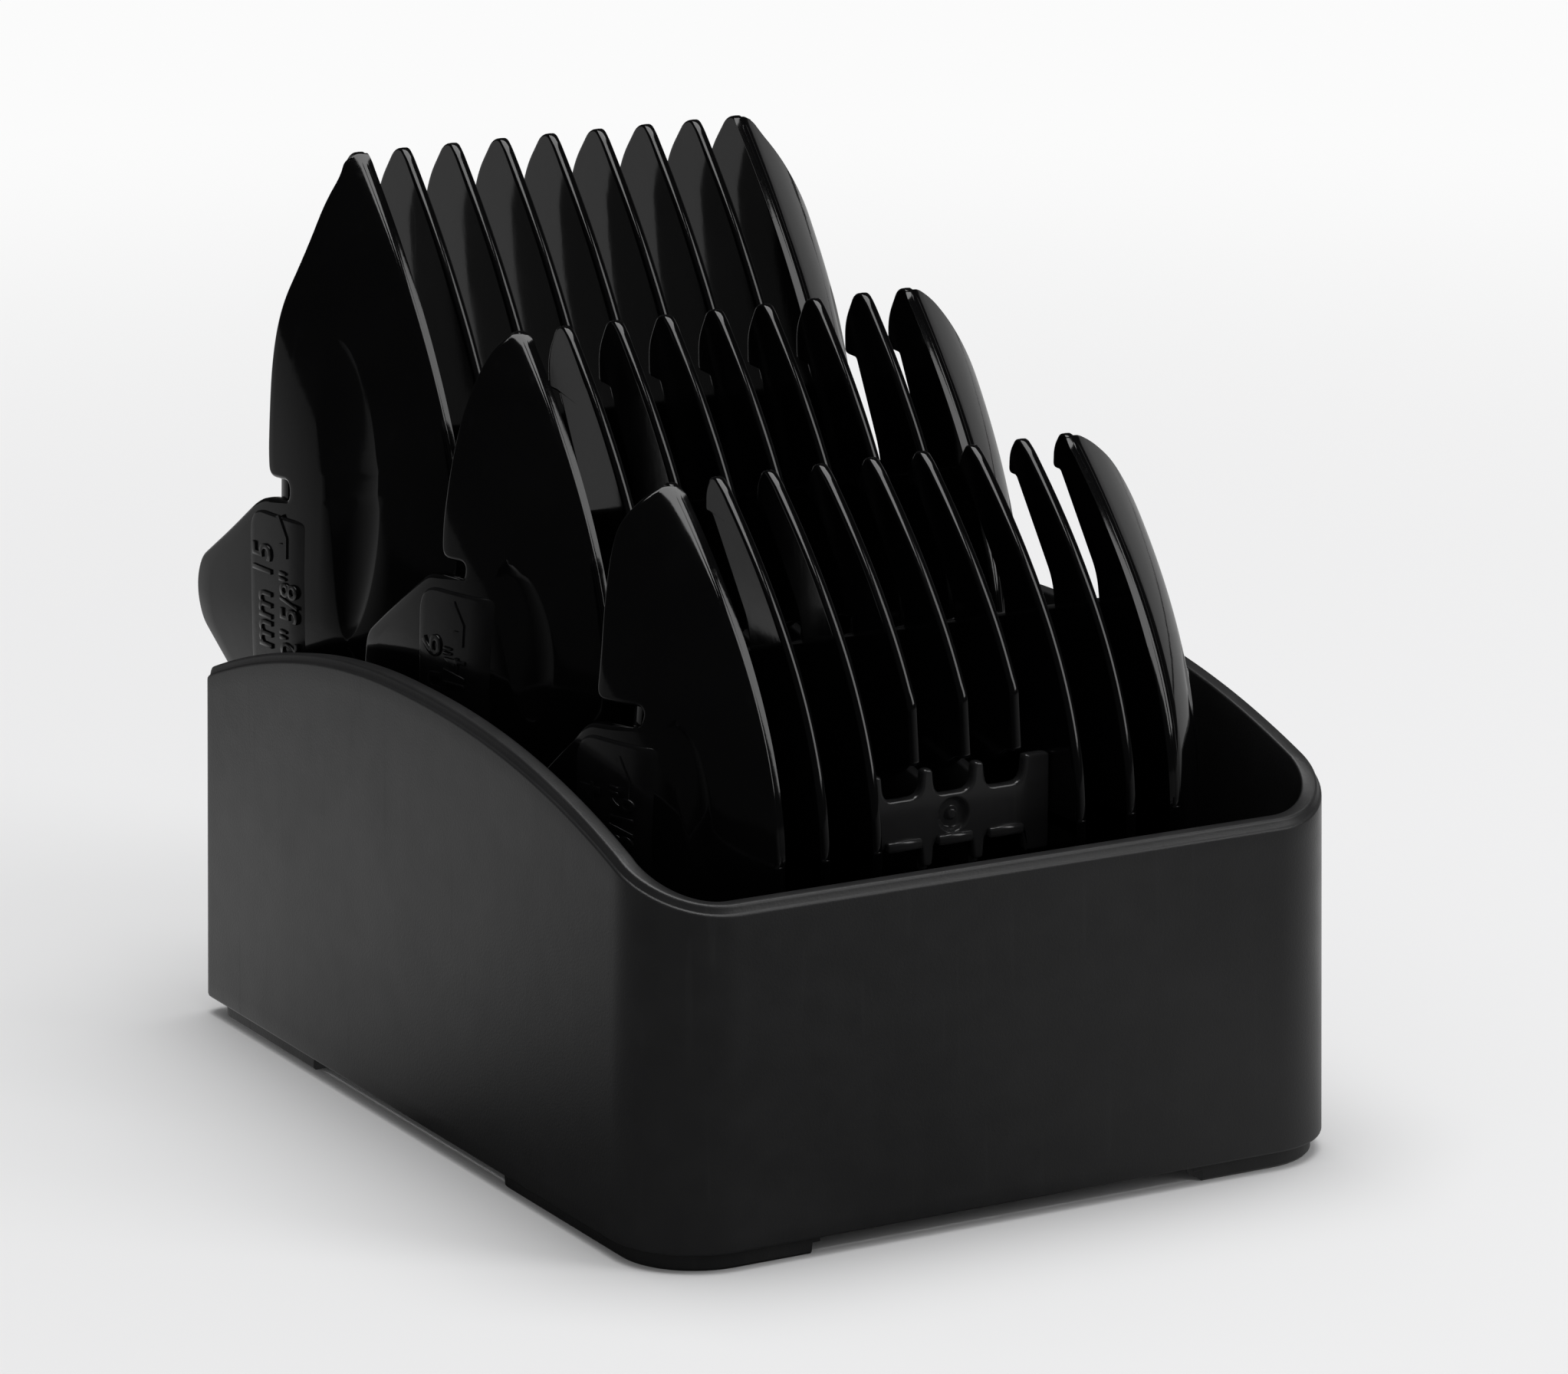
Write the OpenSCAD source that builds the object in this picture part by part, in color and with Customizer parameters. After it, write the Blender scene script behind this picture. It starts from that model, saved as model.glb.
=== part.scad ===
// Storage tray for three double-ended hair-clipper guide combs.
// X runs left to right, Y runs front to rear, Z is up. The origin is on the floor, under the
// middle of the whole object's box. All lengths are in millimetres.

/* [Tray] */
// Width across the side walls at the bottom
tray_w = 86; // [84:0.5:92]
// Depth from the front wall to the rear wall at the bottom
tray_d = 110; // [109:0.5:118]
// Height of the front wall's rim
front_h = 39; // [34:0.5:41]
// Height of the side walls' humps
hump_h = 50.3; // [46:0.1:52]
// Height of the side walls where they meet the rear edge
rear_corner_h = 40.4; // [36:0.1:42]
// Height of the rear wall, which the long comb's cheeks pass over
rear_h = 30; // [20:0.5:31]
// Wall thickness
wall_t = 2.2; // [1.6:0.1:2.6]
// How far each wall leans in from bottom to top
draft = 0.9; // [0.2:0.1:1.4]
// Radius of the front corners
front_r = 10; // [6:0.5:12]
// Radius of the rear corners
rear_r = 2; // [2:0.5:8]

/* [Base] */
// Height of the corner feet
foot_h = 2; // [1.5:0.1:3]
// How far the feet are set in from the walls
foot_inset = 1.2; // [0.8:0.1:2]
// Length of each foot along the front and rear
foot_leg_x = 20; // [12:1:28]
// Length of each front foot along the sides
foot_leg_front = 37; // [20:1:42]
// Length of each rear foot along the sides
foot_leg_rear = 28; // [20:1:42]
// Thickness of the base plate
base_t = 1.8; // [1.2:0.1:2.4]

/* [Rack] */
// Thickness of the rack's floor
rack_t = 1.2; // [1:0.1:2]
// Height of the ribs above the rack's floor
rib_h = 11; // [6:0.5:12]
// Thickness of the ribs
rib_t = 2; // [1.6:0.1:2.4]

/* [Combs] */
// Distance between neighbouring tines
tine_pitch = 6.21; // [6:0.01:6.4]
// Thickness of one tine
tine_t = 1.2; // [0.9:0.1:1.5]
// Half the width across the cheeks' front edges
cheek_x = 24.8; // [24.4:0.1:25.4]
// How far the cheeks flare out behind their front edges
flare = 12.3; // [8:0.1:12.6]
// Depth over which most of the flare happens
flare_depth = 9; // [7:0.5:12]
// Thickness of the cheeks across the comb
cheek_t = 1.8; // [1.4:0.1:2.2]
// Half the height of the flat bed that the clipper's blade lies on
bed_half_h = 20; // [16:0.5:20]
// Thickness of the blade bed
bed_t = 1.8; // [1.2:0.1:2]
// Height of the blade notch above the comb's middle
notch_w = 14; // [13:0.5:15]
// Width of the blade notch
notch_h = 2.4; // [1.8:0.1:2.6]

/* [Hidden] */

floor_z = foot_h + base_t;
rack_z = floor_z + rack_t;
comb_foot_gap = 0.3;
tip_z = rack_z + comb_foot_gap;
fine = 64;

// One comb is a list of named values. Depths run back from its front edge at mid height,
// and heights run up from its middle.
// y: front edge in the tray, mid: height of the middle
// up, low: height of the upper and lower tips, tip: depth of the tips
// bed: depth of the blade bed, cheek: depth of the cheeks beside it, bulge: depth at the middle
// hook: depth of the upper tines' rear hooks, ledge: depth just under them, drop: hook length
function comb(y, mid, up, tip, bed, cheek, bulge, hook, ledge, drop) =
    [y, mid, up, mid - tip_z, tip, bed, cheek, bulge, hook, ledge, drop];
short_comb = comb(-47.3, 39.1, 37, 22.3, 15, 20.5, 31, 24.8, 23.2, 4);
medium_comb = comb(-11.4, 46.1, 40.1, 20.6, 16, 20, 35, 24.5, 21.8, 7.5);
long_comb = comb(22.3, 47.1, 52.6, 26, 24, 26.6, 45, 33.5, 32.5, 10);

function c_y(c) = c[0];
function c_mid(c) = c[1];
function c_len(c, dir) = dir > 0 ? c[2] : c[3];
function c_tip(c) = c[4];
function c_bed(c) = c[5];
function c_cheek(c) = c[6];
function c_bulge(c) = c[7];
// The lower tines' hooks are small, so that they stay inside the tray
function c_hook(c, dir) = dir > 0 ? c[8] : c_tip(c) + 2.2;
function c_ledge(c, dir) = dir > 0 ? c[9] : c_tip(c) + 0.8;
function c_drop(c, dir) = dir > 0 ? c[10] : 4;

// Everything is drawn with the tray centred on y = 0, then moved forward, because the long
// comb's bulge passes over the rear wall
centre_y = (c_y(long_comb) + c_bulge(long_comb) - tray_d / 2) / 2;
module centred() {
    translate([0, -centre_y, 0]) children();
}

// Depth of the front edge at height w: a parabola from the middle to the tip
function front_v(c, w) = c_tip(c) * pow(w / c_len(c, w >= 0 ? 1 : -1), 2);

// Depth of a cheek's rear edge at height w: bulge, shoulder, straight stretch and rounded tip
function rear_v(c, w) = let (h = abs(w), top = c_len(c, w >= 0 ? 1 : -1))
    lookup(h, [
        [0, c_bulge(c)],
        [3, c_bulge(c) - 0.6],
        [6, c_bulge(c) - 2.6],
        [12.5, c_cheek(c) + 1.2],
        [notch_w, c_cheek(c) - 0.4],
        [notch_w + 3, c_cheek(c) - 0.8],
        [top * 0.6, c_cheek(c) + 0.4],
        [top * 0.88, max(c_cheek(c) + 1.6, c_tip(c) * 0.8 + 2)],
        [top * 0.96, c_tip(c) + 1],
        [top, c_tip(c) + 0.4]]);

// Half width of the comb at depth s behind its front edge
function cheek_out(s) = cheek_x + flare * (1 - exp(-max(s, 0) / flare_depth));

rows = 28;
cols = 8;
function row_w(c, i) = let (u = i / rows * 2 - 1) u >= 0 ? u * c_len(c, 1) : u * c_len(c, -1);

// Point on a cheek's outer face, shifted across the comb by dx
function cheek_pt(c, w, v, dx) = [cheek_out(v - front_v(c, w)) + dx, v, w];
function cheek_grid(c, dx) = [for (i = [0:rows]) let (w = row_w(c, i), v0 = front_v(c, w),
    v1 = max(rear_v(c, w), v0 + 0.4))
    for (j = [0:cols]) cheek_pt(c, w, v0 + (v1 - v0) * pow(j / cols, 1.4), dx)];

// Closed skin between two grids of (n + 1) by (m + 1) points, the first grid outside
module slab(outer, inner, n, m) {
    k = (n + 1) * (m + 1);
    q = m + 1;
    polyhedron(points = concat(outer, inner), faces = concat(
        [for (i = [0:n - 1]) for (j = [0:m - 1]) [i * q + j, (i + 1) * q + j, (i + 1) * q + j + 1]],
        [for (i = [0:n - 1]) for (j = [0:m - 1]) [i * q + j, (i + 1) * q + j + 1, i * q + j + 1]],
        [for (i = [0:n - 1]) for (j = [0:m - 1]) [k + i * q + j, k + (i + 1) * q + j + 1, k + (i + 1) * q + j]],
        [for (i = [0:n - 1]) for (j = [0:m - 1]) [k + i * q + j, k + i * q + j + 1, k + (i + 1) * q + j + 1]],
        [for (i = [0:n - 1]) [i * q, k + i * q, k + (i + 1) * q, (i + 1) * q]],
        [for (i = [0:n - 1]) [i * q + m, (i + 1) * q + m, k + (i + 1) * q + m, k + i * q + m]],
        [for (j = [0:m - 1]) [j, j + 1, k + j + 1, k + j]],
        [for (j = [0:m - 1]) [n * q + j, k + n * q + j, k + n * q + j + 1, n * q + j + 1]]),
        convexity = 6);
}

module place(c) {
    translate([0, c_y(c), c_mid(c)]) children();
}

// Extrudes an outline drawn in depth and height across the comb, centred on x
module across(x, t) {
    translate([x - t / 2, 0, 0])
        rotate([90, 0, 90])
            linear_extrude(height = t)
                children();
}

module notch(c, side) {
    inner_v = c_cheek(c) - 5.6;
    translate([0, inner_v, side * notch_w])
        rotate([0, 90, 0]) {
            cylinder(h = 60, d = notch_h, $fn = 24);
            translate([-notch_h / 2, 0, 0])
                cube([notch_h, 12, 60]);
        }
}

module cheek(c) {
    color([0.03, 0.03, 0.035])
        place(c)
            difference() {
                slab(cheek_grid(c, 0), cheek_grid(c, -cheek_t), rows, cols);
                notch(c, 1);
                notch(c, -1);
            }
}

// Outline of one long tine on the upper (dir 1) or lower (dir -1) side
function tine_front(c, dir, from) = [for (i = [0:12]) let (w = from + (c_len(c, dir) - 0.8 - from) * i / 12)
    [c_tip(c) * pow(w / c_len(c, dir), 2), dir * w]];
function tine_rear(c, dir) = let (top = c_len(c, dir))
    [[c_tip(c) + 0.5, dir * top],
     [c_tip(c) + 1.5, dir * (top - 0.7)],
     [c_hook(c, dir), dir * (top - c_drop(c, dir))],
     [c_ledge(c, dir), dir * (top - c_drop(c, dir) - 0.4)],
     [c_bed(c) + 0.5, dir * (bed_half_h + 3)],
     [c_bed(c), dir * bed_half_h]];

module long_tine(c, dir) {
    polygon(concat(tine_front(c, dir, 0), tine_rear(c, dir), [[c_bed(c), 0]]));
}

// The middle tines stop short of the centre panel
stub_w = 8.6;
stub_kink_w = 15.5;
panel_v = 5.6;
panel_t = 1.4;
module short_tine(c, dir) {
    kink_v = c_tip(c) * pow(stub_kink_w / c_len(c, dir), 2);
    polygon(concat(
        [[panel_v + panel_t, dir * (stub_w - 2)], [kink_v - 1, dir * stub_w]],
        tine_front(c, dir, stub_kink_w),
        tine_rear(c, dir),
        [[c_bed(c), dir * (stub_w - 2)]]));
}

module tines(c, dir) {
    color([0.03, 0.03, 0.035])
        place(c)
            for (k = [-4:4])
                across(abs(k) < 4 ? k * tine_pitch : sign(k) * (cheek_x - tine_t / 2), tine_t)
                    if (abs(k) < 2) short_tine(c, dir);
                    else long_tine(c, dir);
}

module blade_bed(c) {
    half_mid = cheek_out(c_bed(c)) - cheek_t / 2;
    half_end = cheek_out(c_bed(c) - front_v(c, bed_half_h)) - cheek_t / 2;
    color([0.03, 0.03, 0.035])
        place(c)
            translate([0, c_bed(c) + bed_t, 0])
                rotate([90, 0, 0])
                    linear_extrude(height = bed_t)
                        polygon([[-half_mid, 0], [-half_end, -bed_half_h], [half_end, -bed_half_h],
                            [half_mid, 0], [half_end, bed_half_h], [-half_end, bed_half_h]]);
}

// Flat web between the second tines from each side, scalloped above and below, with a
// round moulding dimple in its middle and ribs back to the blade bed
module centre_panel(c) {
    half = 2 * tine_pitch - tine_t / 2;
    panel_h = 7;
    scallop_r = 2.1;
    color([0.03, 0.03, 0.035])
        place(c) {
            difference() {
                translate([0, panel_v + panel_t, 0])
                    rotate([90, 0, 0])
                        linear_extrude(height = panel_t)
                            difference() {
                                square([2 * half, 2 * panel_h - 1], center = true);
                                for (k = [-1:1], s = [-1, 1])
                                    translate([k * tine_pitch, s * (panel_h - 0.5)])
                                        circle(r = scallop_r, $fn = 32);
                            }
                translate([0, panel_v, 0])
                    rotate([-90, 0, 0])
                        cylinder(h = 0.8, r = 1.9, $fn = 32);
            }
            translate([0, panel_v + 0.3, 0])
                rotate([-90, 0, 0])
                    cylinder(h = 0.8, r = 0.7, $fn = 32);
            for (k = [-0.5, 0.5])
                translate([k * tine_pitch - tine_t / 2, panel_v + panel_t, -stub_w + 2.5])
                    cube([tine_t, c_bed(c) - panel_v - panel_t, 2 * stub_w - 5]);
        }
}

// Raised pads on both cheeks for the cutting-length figures
label_v = [13, 23];
label_half_h = 11.5;
module size_plate(c) {
    n = 8;
    m = 6;
    raise = 0.5;
    embed = 0.3;
    function pad(dx) = [for (i = [0:n]) let (w = label_half_h * (2 * i / n - 1))
        for (j = [0:m]) cheek_pt(c, w, label_v[0] + (label_v[1] - label_v[0]) * j / m, dx)];
    slab(pad(raise), pad(-embed), n, m);
}

module size_plates(c) {
    color([0.05, 0.05, 0.055])
        place(c)
            for (s = [0, 1])
                mirror([s, 0, 0]) size_plate(c);
}

// Rounded footprint of the tray, set in by d
module footprint(d) {
    hull()
        for (x = [-1, 1], y = [-1, 1]) {
            r = max(0.4, (y < 0 ? front_r : rear_r) - d);
            translate([x * (tray_w / 2 - d - r), y * (tray_d / 2 - d - r)])
                circle(r = r, $fn = fine);
        }
}

// Solid that tapers from the footprint at the bottom to a footprint set in by the draft
module tapered(d) {
    hull() {
        translate([0, 0, foot_h])
            linear_extrude(height = 0.01) footprint(d);
        translate([0, 0, hump_h])
            linear_extrude(height = 0.01) footprint(d + draft);
    }
}

// Side view of the rim: from the top of the hump it falls slowly, then faster, to each end
hump_y = 5;
front_power = 2.3;
rear_power = 2;
function rim_z(y) = y < hump_y
    ? hump_h - (hump_h - front_h) * pow((hump_y - y) / (tray_d / 2 + hump_y), front_power)
    : hump_h - (hump_h - rear_corner_h) * pow((y - hump_y) / (tray_d / 2 - hump_y), rear_power);
module rim_profile() {
    edge = tray_d / 2;
    polygon(concat([[edge, 0], [-edge, 0]], [for (i = [0:28]) let (y = -edge + i * 2 * edge / 28) [y, rim_z(y)]]));
}

module tray_shell() {
    gap_half = tray_w / 2 - wall_t - draft - 1.2;
    color([0.05, 0.05, 0.052])
        difference() {
            intersection() {
                tapered(0);
                across(0, tray_w + 2) rim_profile();
            }
            translate([0, 0, -0.02]) tapered(wall_t);
            translate([0, 0, 0.02]) tapered(wall_t);
            translate([-gap_half, tray_d / 2 - wall_t - draft - 2, rear_h])
                cube([2 * gap_half, wall_t + draft + 4, hump_h]);
        }
}

module base_plate() {
    color([0.05, 0.05, 0.052])
        translate([0, 0, foot_h])
            linear_extrude(height = base_t)
                footprint(wall_t + 0.3);
}

module corner_feet() {
    leg_t = 3.2;
    color([0.045, 0.045, 0.047])
        linear_extrude(height = foot_h)
            intersection() {
                difference() {
                    footprint(foot_inset);
                    footprint(foot_inset + leg_t);
                }
                union() {
                    for (x = [-1, 1]) {
                        translate([x * (tray_w / 2 - foot_leg_x / 2), -tray_d / 2 + foot_leg_front / 2])
                            square([foot_leg_x, foot_leg_front], center = true);
                        translate([x * (tray_w / 2 - foot_leg_x / 2), tray_d / 2 - foot_leg_rear / 2])
                            square([foot_leg_x, foot_leg_rear], center = true);
                    }
                }
            }
}

// Ribs stand in front of each comb's lower end and behind the first two
rib_y = [-43, -21, -4, 14, 30];
module comb_rack() {
    half_x = tray_w / 2 - wall_t - draft - 2;
    half_y = tray_d / 2 - wall_t - draft - 2;
    color([0.05, 0.05, 0.052]) {
        translate([-half_x, -half_y, floor_z])
            cube([2 * half_x, 2 * half_y, rack_t]);
        for (y = rib_y)
            translate([-half_x + 2, y - rib_t / 2, rack_z])
                cube([2 * half_x - 4, rib_t, rib_h]);
    }
}

centred() tray_shell();
centred() base_plate();
centred() corner_feet();
centred() comb_rack();
centred() mirror([1, 0, 0]) cheek(short_comb);  // short_comb_left_cheek
centred() cheek(short_comb);  // short_comb_right_cheek
centred() tines(short_comb, 1);  // short_comb_upper_tines
centred() tines(short_comb, -1);  // short_comb_lower_tines
centred() blade_bed(short_comb);  // short_comb_blade_bed
centred() centre_panel(short_comb);  // short_comb_centre_panel
centred() size_plates(short_comb);  // short_comb_size_plates
centred() mirror([1, 0, 0]) cheek(medium_comb);  // medium_comb_left_cheek
centred() cheek(medium_comb);  // medium_comb_right_cheek
centred() tines(medium_comb, 1);  // medium_comb_upper_tines
centred() tines(medium_comb, -1);  // medium_comb_lower_tines
centred() blade_bed(medium_comb);  // medium_comb_blade_bed
centred() centre_panel(medium_comb);  // medium_comb_centre_panel
centred() size_plates(medium_comb);  // medium_comb_size_plates
centred() mirror([1, 0, 0]) cheek(long_comb);  // long_comb_left_cheek
centred() cheek(long_comb);  // long_comb_right_cheek
centred() tines(long_comb, 1);  // long_comb_upper_tines
centred() tines(long_comb, -1);  // long_comb_lower_tines
centred() blade_bed(long_comb);  // long_comb_blade_bed
centred() centre_panel(long_comb);  // long_comb_centre_panel
centred() size_plates(long_comb);  // long_comb_size_plates
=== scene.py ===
# %% [markdown]
# # A tray of guide combs for a hair clipper
# The real thing is an open moulded tray with three double-ended guide combs standing in it.
# The tray is satin black with a fine texture, and the combs are polished gloss black.
# CAD holds every size, so this lesson reads the places of the nodes from the frame and
# builds smoother, more detailed surfaces over them with numpy.

import math

import bmesh
import bpy
import numpy as np
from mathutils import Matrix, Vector


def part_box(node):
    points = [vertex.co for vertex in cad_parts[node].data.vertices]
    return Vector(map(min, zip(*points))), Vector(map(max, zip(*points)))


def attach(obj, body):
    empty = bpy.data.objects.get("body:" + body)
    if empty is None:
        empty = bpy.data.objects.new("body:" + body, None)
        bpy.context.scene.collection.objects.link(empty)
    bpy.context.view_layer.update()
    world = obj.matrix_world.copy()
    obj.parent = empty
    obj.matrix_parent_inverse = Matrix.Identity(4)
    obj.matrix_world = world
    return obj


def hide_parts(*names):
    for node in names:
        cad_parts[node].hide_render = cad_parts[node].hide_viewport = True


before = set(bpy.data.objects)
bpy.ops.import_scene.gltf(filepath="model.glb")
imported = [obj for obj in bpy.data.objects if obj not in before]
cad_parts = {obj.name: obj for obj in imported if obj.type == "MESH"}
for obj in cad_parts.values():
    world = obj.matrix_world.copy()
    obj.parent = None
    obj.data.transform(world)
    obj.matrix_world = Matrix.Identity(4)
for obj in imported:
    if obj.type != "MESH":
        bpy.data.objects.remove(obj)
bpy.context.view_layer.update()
MM = 0.001
scene = bpy.context.scene


def box_mm(node):
    """Lowest and highest corner of a CAD node, in millimetres."""
    low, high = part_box(node)
    return np.array(low) / MM, np.array(high) / MM


tray_low, tray_high = box_mm("tray_shell")
TRAY_Y = (tray_low[1] + tray_high[1]) / 2
print("tray box (mm):", tray_low.round(2), tray_high.round(2))

# %% [markdown]
# ## Camera
# A long lens from the left front, a little above the rim. A long lens keeps the tray's
# sides nearly parallel, as in a studio shot of a small product. The sensor is 36 mm wide
# and the lens sets the angle across the picture's width.

# %% Camera
AZIMUTH, ELEVATION = math.radians(-29.389), math.radians(14.554)
DISTANCE, LENS = 0.769, 160.2
back = Vector((math.sin(AZIMUTH) * math.cos(ELEVATION), -math.cos(AZIMUTH) * math.cos(ELEVATION),
               math.sin(ELEVATION)))
right = Vector((math.cos(AZIMUTH), math.sin(AZIMUTH), 0))
up = Vector((-math.sin(AZIMUTH) * math.sin(ELEVATION), math.cos(AZIMUTH) * math.sin(ELEVATION), math.cos(ELEVATION)))
aim = Vector((0, TRAY_Y * MM, 0.040)) + right * 0.002609 + up * 0.005238
camera = bpy.data.objects.new("studio_camera", bpy.data.cameras.new("studio_camera"))
scene.collection.objects.link(camera)
camera.location = aim + back * DISTANCE
camera.rotation_mode = "QUATERNION"
camera.rotation_quaternion = (-back).to_track_quat("-Z", "Y")
camera.data.sensor_width, camera.data.lens = 36, LENS
camera.data.clip_start, camera.data.clip_end = 0.05, 20
scene.camera = camera
scene.view_settings.view_transform = "Standard"
print("camera at", [round(c, 3) for c in camera.location])

# %% [markdown]
# ## Shared finish effects
# Both plastics need the same few effects: a fine moulded grain, faint handling marks, and
# a slow unevenness of the surface from cooling in the mould. Each is a node group, built
# once and placed in each material with its own values. All read Object coordinates, so
# the pattern stays fixed to the piece.


# %% Node helpers
def node(tree, kind, place, **values):
    """Adds a node at a place, sets its properties, and its inputs by name or number."""
    made = tree.nodes.new(kind)
    made.location = place
    for key, value in values.items():
        if key.startswith("in_"):
            name = key[3:]
            made.inputs[int(name) if name.isdigit() else name.replace("_", " ")].default_value = value
        else:
            setattr(made, key, value)
    return made


def new_group(name, inputs, outputs):
    """A shader node group with named sockets: (name, type, default) in and (name, type) out."""
    group = bpy.data.node_groups.new(name, "ShaderNodeTree")
    for label, kind, value in inputs:
        socket = group.interface.new_socket(label, in_out="INPUT", socket_type=kind)
        if value is not None:
            socket.default_value = value
    for label, kind in outputs:
        group.interface.new_socket(label, in_out="OUTPUT", socket_type=kind)
    return group, node(group, "NodeGroupInput", (-800, 0)), node(group, "NodeGroupOutput", (800, 0))


def mult(tree, a, b, place, operation="MULTIPLY"):
    """A Math node between two sockets, or a socket and a number."""
    made = node(tree, "ShaderNodeMath", place, operation=operation)
    for index, value in enumerate((a, b)):
        if isinstance(value, (int, float)):
            made.inputs[index].default_value = value
        else:
            tree.links.new(value, made.inputs[index])
    return made.outputs[0]


# %% Moulded grain
def make_grain():
    """Two octaves of fine noise: Height for a bump, Mask for small changes of gloss."""
    group, enter, leave = new_group(
        "MouldedGrain",
        [("Vector", "NodeSocketVector", None), ("Grain", "NodeSocketFloat", 3200.0),
         ("Coarse", "NodeSocketFloat", 420.0)],
        [("Height", "NodeSocketFloat"), ("Mask", "NodeSocketFloat")],
    )
    fine = node(group, "ShaderNodeTexNoise", (-500, 150), in_Detail=3.0, in_Roughness=0.55)
    coarse = node(group, "ShaderNodeTexNoise", (-500, -150), in_Detail=2.0, in_Roughness=0.5)
    for texture, scale in ((fine, "Grain"), (coarse, "Coarse")):
        group.links.new(enter.outputs["Vector"], texture.inputs["Vector"])
        group.links.new(enter.outputs[scale], texture.inputs["Scale"])
    height = mult(group, fine.outputs["Fac"], mult(group, coarse.outputs["Fac"], 0.35, (-200, -150)), (0, 0), "ADD")
    group.links.new(height, leave.inputs["Height"])
    spread = node(group, "ShaderNodeMapRange", (200, -200), in_1=0.35, in_2=0.65)
    group.links.new(coarse.outputs["Fac"], spread.inputs[0])
    group.links.new(spread.outputs[0], leave.inputs["Mask"])
    return group


# %% Handling marks
def make_marks():
    """Smudges from broad noise, and hair-fine scratches from noise stretched along Z."""
    group, enter, leave = new_group(
        "HandlingMarks",
        [("Vector", "NodeSocketVector", None), ("Smudge Scale", "NodeSocketFloat", 90.0),
         ("Scratch Scale", "NodeSocketFloat", 900.0)],
        [("Smudge", "NodeSocketFloat"), ("Scratch", "NodeSocketFloat")],
    )
    smudge = node(group, "ShaderNodeTexNoise", (-500, 200), in_Detail=5.0, in_Roughness=0.6, in_Distortion=0.6)
    group.links.new(enter.outputs["Vector"], smudge.inputs["Vector"])
    group.links.new(enter.outputs["Smudge Scale"], smudge.inputs["Scale"])
    smudge_range = node(group, "ShaderNodeMapRange", (-100, 200), in_1=0.42, in_2=0.72)
    group.links.new(smudge.outputs["Fac"], smudge_range.inputs[0])
    group.links.new(smudge_range.outputs[0], leave.inputs["Smudge"])
    stretch = node(group, "ShaderNodeMapping", (-700, -200))
    stretch.inputs["Scale"].default_value = (1.0, 1.0, 0.06)
    stretch.inputs["Rotation"].default_value = (0.35, 0.12, 0.0)
    group.links.new(enter.outputs["Vector"], stretch.inputs["Vector"])
    scratch = node(group, "ShaderNodeTexNoise", (-500, -200), in_Detail=2.0, in_Roughness=0.4)
    group.links.new(stretch.outputs[0], scratch.inputs["Vector"])
    group.links.new(enter.outputs["Scratch Scale"], scratch.inputs["Scale"])
    scratch_range = node(group, "ShaderNodeMapRange", (-100, -200), in_1=0.66, in_2=0.74)
    group.links.new(scratch.outputs["Fac"], scratch_range.inputs[0])
    group.links.new(scratch_range.outputs[0], leave.inputs["Scratch"])
    return group


grain_group, marks_group = make_grain(), make_marks()
print("groups:", grain_group.name, marks_group.name)

# %% [markdown]
# ## The plastics
# One builder makes every finish: the base colour is mixed a little lighter where the
# marks are, the roughness rises with smudges and scratches, and the grain feeds a bump.
# Gloss comes from a low roughness, and satin from a middle roughness with a strong grain.


# %% Plastic builder
def plastic(name, colour, worn, rough, rough_marked, grain, grain_depth, coarse=420.0, smudge=90.0, specular=0.5):
    """Principled plastic: colour to worn colour by the marks, roughness by the marks, bump by the grain."""
    made = bpy.data.materials.new(name)
    made.use_nodes = True
    tree = made.node_tree
    tree.nodes.clear()
    out = node(tree, "ShaderNodeOutputMaterial", (900, 0))
    shader = node(tree, "ShaderNodeBsdfPrincipled", (600, 0))
    shader.inputs["IOR"].default_value = 1.49
    shader.inputs["Specular IOR Level"].default_value = specular
    tree.links.new(shader.outputs[0], out.inputs[0])
    where = node(tree, "ShaderNodeTexCoord", (-800, 0))
    fine = node(tree, "ShaderNodeGroup", (-500, 200), node_tree=grain_group)
    marks = node(tree, "ShaderNodeGroup", (-500, -200), node_tree=marks_group)
    for placed in (fine, marks):
        tree.links.new(where.outputs["Object"], placed.inputs["Vector"])
    fine.inputs["Grain"].default_value = grain
    fine.inputs["Coarse"].default_value = coarse
    marks.inputs["Smudge Scale"].default_value = smudge
    wear = mult(tree, mult(tree, marks.outputs["Smudge"], 0.5, (-250, -150)),
                mult(tree, marks.outputs["Scratch"], 0.35, (-250, -300)), (-50, -200), "ADD")
    wear = mult(tree, wear, mult(tree, fine.outputs["Mask"], 0.25, (-250, 0)), (100, -150), "ADD")
    colour_mix = node(tree, "ShaderNodeMix", (250, 200), data_type="RGBA")
    colour_mix.inputs[6].default_value = (*colour, 1)
    colour_mix.inputs[7].default_value = (*worn, 1)
    tree.links.new(wear, colour_mix.inputs[0])
    tree.links.new(colour_mix.outputs[2], shader.inputs["Base Color"])
    rough_mix = node(tree, "ShaderNodeMapRange", (250, -100), in_3=rough, in_4=rough_marked)
    tree.links.new(wear, rough_mix.inputs[0])
    tree.links.new(rough_mix.outputs[0], shader.inputs["Roughness"])
    bump = node(tree, "ShaderNodeBump", (400, -300), in_Strength=1.0)
    bump.inputs["Distance"].default_value = grain_depth
    tree.links.new(fine.outputs["Height"], bump.inputs["Height"])
    tree.links.new(bump.outputs[0], shader.inputs["Normal"])
    return made


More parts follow.
